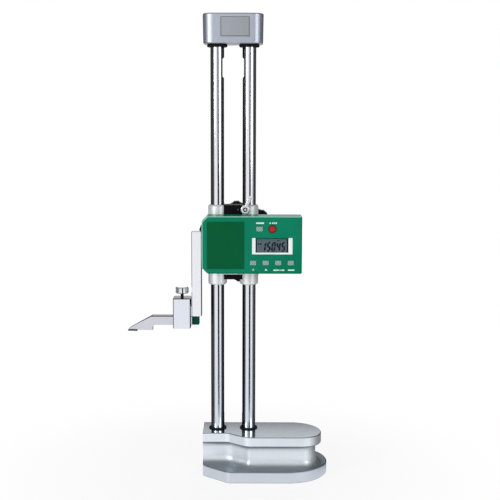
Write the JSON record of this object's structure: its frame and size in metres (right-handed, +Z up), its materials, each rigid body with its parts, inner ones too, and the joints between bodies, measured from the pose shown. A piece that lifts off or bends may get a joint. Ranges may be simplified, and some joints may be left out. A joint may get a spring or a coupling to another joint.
{
  "type": "height gauge",
  "caption": "Double-column digital height gauge: heavy foot, racked columns, hand-wheel slider with a display, arm and clamped scriber.",
  "frame": {"origin": "underside of the base, midway between the two columns", "axes": "+Z up along the columns, +X to the reader's right, +Y away from the reader, who faces the display; the scriber points along -X"},
  "size_m": [0.2087, 0.0846, 0.474],
  "materials": {
    "base_iron": "satin silver-grey enamel with ground top",
    "cap_metal": "satin silver-grey enamel",
    "chrome": "ground and hard-chromed",
    "rack_steel": "milled",
    "black_rubber": "matte",
    "dark_steel": "black oxide",
    "grey_slider": "satin grey",
    "bronze": "turned",
    "black_paint": "satin black",
    "gear_steel": "hobbed",
    "wheel_black": "black phenolic",
    "arm_chrome": "satin chrome",
    "scriber_steel": "ground",
    "carbide": "lapped dark carbide",
    "housing_green": "satin gloss green",
    "panel_green": "dark green",
    "cap_green": "matte green",
    "frame_white": "off-white",
    "lens_clear": "clear",
    "lcd_grey": "grey-blue reflective display",
    "elastomer": "soft contact strip",
    "board_green": "solder mask",
    "switch_black": "moulded",
    "key_grey": "pale grey",
    "key_red": "red",
    "disc_film": "graduated film",
    "holder_black": "moulded",
    "contact_nickel": "nickel plated",
    "cell_steel": "stainless can"
  },
  "bodies": {
    "base": {"base_casting": "base_iron", "left_column": "chrome", "right_column": "chrome", "left_rack": "rack_steel", "right_rack": "rack_steel", "lower_buffers": "black_rubber", "upper_buffers": "black_rubber", "top_cap": "cap_metal", "column_screws": "dark_steel", "cap_set_screws": "dark_steel"},
    "slider": {"slider_body": "grey_slider", "slider_bushes": "bronze", "bottom_bridge": "black_paint", "top_bridge": "black_paint", "stop_pin": "rack_steel", "brake_pad": "bronze", "pinion_bush": "bronze", "rear_shell": "housing_green", "front_cover": "housing_green", "face_panel": "panel_green", "display_frame": "frame_white", "display_lens": "lens_clear", "lcd_panel": "lcd_grey", "lcd_connectors": "elastomer", "circuit_board": "board_green", "board_screws": "dark_steel", "key_switches": "switch_black", "encoder_head": "switch_black", "battery_holder": "holder_black", "battery_contact": "contact_nickel", "coin_cell": "cell_steel", "housing_screws": "dark_steel", "cover_screws": "dark_steel", "drop_arm": "arm_chrome", "arm_screws": "dark_steel", "scriber_clamp": "arm_chrome"},
    "wheel": {"hand_wheel": "wheel_black", "drive_pinion": "gear_steel", "wheel_screw": "dark_steel"},
    "encoder": {"encoder_pinion": "gear_steel", "encoder_disc": "disc_film"},
    "lever": {"lock_lever": "arm_chrome", "lock_screw": "dark_steel"},
    "pad": {"clamp_pad": "bronze"},
    "thumb": {"thumbscrew": "arm_chrome"},
    "scriber_blade": {"scriber": "scriber_steel", "carbide_tip": "carbide", "shank_cap": "cap_green"},
    "power_key": {"key_power": "key_grey"},
    "zero_key": {"key_zero": "key_red"},
    "plus_key": {"key_plus": "key_grey"},
    "set_key": {"key_set": "key_grey"},
    "unit_key": {"key_unit": "key_grey"},
    "hold_key": {"key_hold": "key_grey"},
    "door": {"battery_door": "housing_green"}
  },
  "joints": [
    {"name": "slider_lift", "type": "slide", "parent": "base", "child": "slider", "axis": [0, 0, 1], "range_m": [-0.15045, 0.151]},
    {"name": "wheel_turn", "type": "hinge", "parent": "slider", "child": "wheel", "pos_m": [0.00464, 0, 0.24135], "axis": [0, 1, 0], "range_deg": [-1440, 1445]},
    {"name": "encoder_turn", "type": "hinge", "parent": "slider", "child": "encoder", "pos_m": [-0.00504, 0, 0.22935], "axis": [0, 1, 0], "range_deg": [-1550, 1545]},
    {"name": "lock_turn", "type": "hinge", "parent": "slider", "child": "lever", "pos_m": [0.0123, -0.0139, 0.2785], "axis": [0, -1, 0], "range_deg": [0, 84]},
    {"name": "clamp_press", "type": "slide", "parent": "slider", "child": "pad", "axis": [0, 0, 1], "range_m": [0, 0.00161]},
    {"name": "thumbscrew_turn", "type": "hinge", "parent": "pad", "child": "thumb", "pos_m": [-0.0531, 0, 0.18], "axis": [0, 0, 1], "range_deg": [0, 720]},
    {"name": "scriber_draw", "type": "slide", "parent": "slider", "child": "scriber_blade", "axis": [-1, 0, 0], "range_m": [0, 0.015]},
    {"name": "power_press", "type": "slide", "parent": "slider", "child": "power_key", "axis": [0, 1, 0], "range_m": [0, 0.0005], "stiffness_N_per_m": 400},
    {"name": "zero_press", "type": "slide", "parent": "slider", "child": "zero_key", "axis": [0, 1, 0], "range_m": [0, 0.0005], "stiffness_N_per_m": 400},
    {"name": "plus_press", "type": "slide", "parent": "slider", "child": "plus_key", "axis": [0, 1, 0], "range_m": [0, 0.0005], "stiffness_N_per_m": 400},
    {"name": "set_press", "type": "slide", "parent": "slider", "child": "set_key", "axis": [0, 1, 0], "range_m": [0, 0.0005], "stiffness_N_per_m": 400},
    {"name": "unit_press", "type": "slide", "parent": "slider", "child": "unit_key", "axis": [0, 1, 0], "range_m": [0, 0.0005], "stiffness_N_per_m": 400},
    {"name": "hold_press", "type": "slide", "parent": "slider", "child": "hold_key", "axis": [0, 1, 0], "range_m": [0, 0.0005], "stiffness_N_per_m": 400},
    {"name": "door_slide", "type": "slide", "parent": "slider", "child": "door", "axis": [1, 0, 0], "range_m": [0, 0.03]}
  ],
  "couplings": [
    {"joint": "wheel_turn", "follows": "slider_lift", "rad_per_m": 166.67},
    {"joint": "encoder_turn", "follows": "slider_lift", "rad_per_m": -178.57},
    {"joint": "clamp_press", "follows": "thumbscrew_turn", "m_per_rad": 0.00012732}
  ]
}
